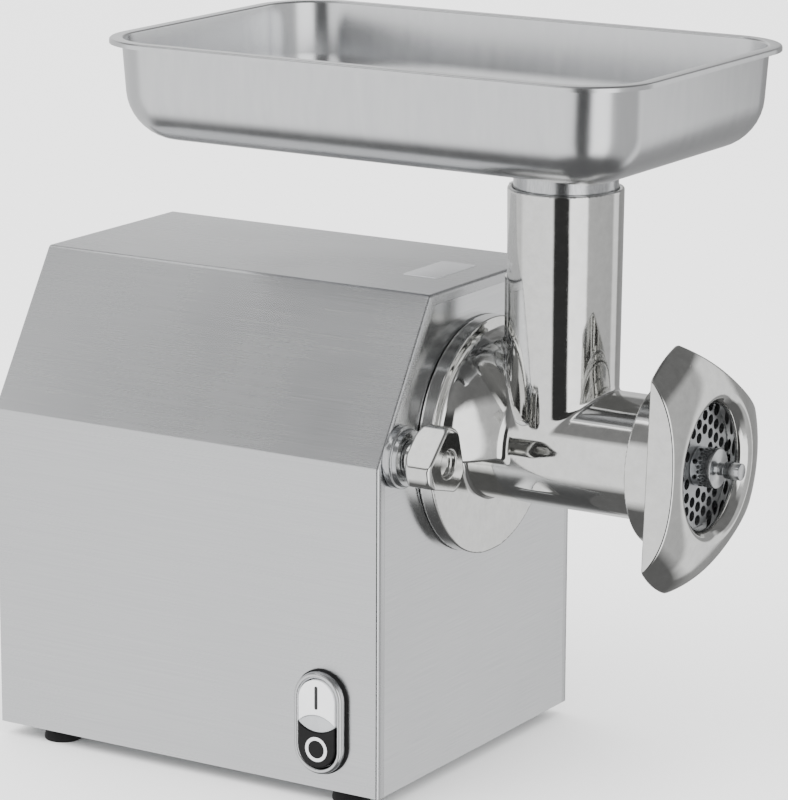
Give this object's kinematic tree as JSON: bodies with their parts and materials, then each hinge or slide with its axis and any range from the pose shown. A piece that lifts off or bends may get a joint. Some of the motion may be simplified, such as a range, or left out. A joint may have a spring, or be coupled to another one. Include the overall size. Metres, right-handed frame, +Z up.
{
  "type": "electric meat grinder",
  "caption": "Bench-top electric meat grinder: brushed steel casing with motor and gearbox, cast feed head with worm, knife and plate, three-lobed ring nut, and lift-off tray.",
  "frame": {"origin": "point of the worktop below the worm axis, in the plane of the casing's head-side face", "axes": "+X along the worm axis from the casing towards the ring nut, +Z up, -Y the side with the switch"},
  "size_m": [0.4374, 0.224, 0.417],
  "materials": {
    "brushed_sheet": "brushed satin stainless sheet",
    "satin_sheet": "fine satin stainless sheet, nearly mirror",
    "polished_cast": "mirror-polished cast stainless steel",
    "drawn_sheet": "deep-drawn satin stainless sheet",
    "machined_steel": "turned and ground steel",
    "plate_steel": "ground tool steel",
    "zinc_steel": "zinc-plated steel",
    "cast_alloy": "die-cast aluminium, as cast",
    "bezel_alloy": "satin silver, fine radial grain",
    "bronze_bush": "turned bronze",
    "black_rubber": "moulded black rubber",
    "black_plastic": "fine matt moulding",
    "grey_plastic": "light grey satin moulding",
    "lens_plastic": "smoke grey gloss moulding",
    "painted_shell": "dark grey enamel",
    "steel_laminate": "stacked steel sheet",
    "label_foil": "plain satin foil",
    "capacitor_can": "off-white plastic can"
  },
  "bodies": {
    "base": {"casing_cover": "brushed_sheet", "head_end_panel": "satin_sheet", "rear_end_panel": "brushed_sheet", "base_plate": "zinc_steel", "rubber_feet": "black_rubber", "foot_screws": "zinc_steel", "panel_screws": "machined_steel", "label_plate": "label_foil", "cable_gland": "black_plastic", "head_socket": "cast_alloy", "socket_screws": "zinc_steel", "gearbox_housing": "cast_alloy", "gearbox_cover": "cast_alloy", "gearbox_screws": "zinc_steel", "oil_seal": "black_rubber", "output_bearings": "machined_steel", "layshaft_bearings": "machined_steel", "motor_bearings": "machined_steel", "motor_stator": "steel_laminate", "motor_shell": "painted_shell", "motor_end_bell": "cast_alloy", "fan_cowl": "painted_shell", "motor_cradle": "zinc_steel", "run_capacitor": "capacitor_can", "capacitor_clip": "zinc_steel", "contactor": "black_plastic", "switch_gasket": "black_rubber", "switch_bezel": "bezel_alloy", "pilot_lens": "lens_plastic", "switch_body": "black_plastic", "clamp_insert": "zinc_steel"},
    "output": {"output_shaft": "machined_steel", "output_wheel": "machined_steel"},
    "layshaft": {"layshaft": "machined_steel", "first_wheel": "machined_steel"},
    "rotor": {"motor_shaft": "machined_steel", "motor_pinion": "machined_steel", "motor_rotor": "steel_laminate", "motor_fan": "black_plastic"},
    "start_button": {"start_button": "grey_plastic", "start_spring": "zinc_steel"},
    "stop_button": {"stop_button": "black_plastic", "stop_spring": "zinc_steel"},
    "head": {"head_casting": "polished_cast", "head_bush": "bronze_bush", "plate_pin": "machined_steel", "perforated_plate": "plate_steel"},
    "worm": {"feed_worm": "polished_cast", "thrust_washer": "black_plastic", "cutting_knife": "plate_steel"},
    "nut": {"ring_nut": "polished_cast"},
    "clamp": {"clamp_knob": "polished_cast", "clamp_stud": "machined_steel", "clamp_washer": "machined_steel"},
    "tray": {"feed_tray": "drawn_sheet", "tray_spigot": "machined_steel"}
  },
  "joints": [
    {"name": "output_spin", "type": "hinge", "parent": "base", "child": "output", "pos_m": [-0.04, 0, 0.195], "axis": [1, 0, 0], "continuous": true},
    {"name": "layshaft_spin", "type": "hinge", "parent": "base", "child": "layshaft", "pos_m": [-0.05, 0, 0.137], "axis": [1, 0, 0], "continuous": true},
    {"name": "rotor_spin", "type": "hinge", "parent": "base", "child": "rotor", "pos_m": [-0.15, 0, 0.08975], "axis": [1, 0, 0], "continuous": true},
    {"name": "worm_spin", "type": "hinge", "parent": "head", "child": "worm", "pos_m": [0.06, 0, 0.195], "axis": [1, 0, 0], "continuous": true},
    {"name": "head_slide", "type": "slide", "parent": "base", "child": "head", "axis": [1, 0, 0], "range_m": [0, 0.09]},
    {"name": "tray_lift", "type": "slide", "parent": "head", "child": "tray", "axis": [0, 0, 1], "range_m": [0, 0.06]},
    {"name": "nut_turn", "type": "hinge", "parent": "head", "child": "nut", "pos_m": [0.13, 0, 0.195], "axis": [1, 0, 0], "range_deg": [0, 720]},
    {"name": "clamp_turn", "type": "hinge", "parent": "base", "child": "clamp", "pos_m": [0.01, -0.086, 0.1995], "axis": [1, 0, 0], "range_deg": [0, 720]},
    {"name": "start_press", "type": "slide", "parent": "base", "child": "start_button", "axis": [0, 1, 0], "range_m": [0, 0.003], "stiffness_N_per_m": 400, "springref_m": -0.001},
    {"name": "stop_press", "type": "slide", "parent": "base", "child": "stop_button", "axis": [0, 1, 0], "range_m": [0, 0.003], "stiffness_N_per_m": 400, "springref_m": -0.001}
  ],
  "couplings": [
    {"joint": "layshaft_spin", "follows": "output_spin", "ratio": -2.8667},
    {"joint": "rotor_spin", "follows": "output_spin", "ratio": 10.033},
    {"joint": "worm_spin", "follows": "output_spin", "ratio": 1}
  ]
}
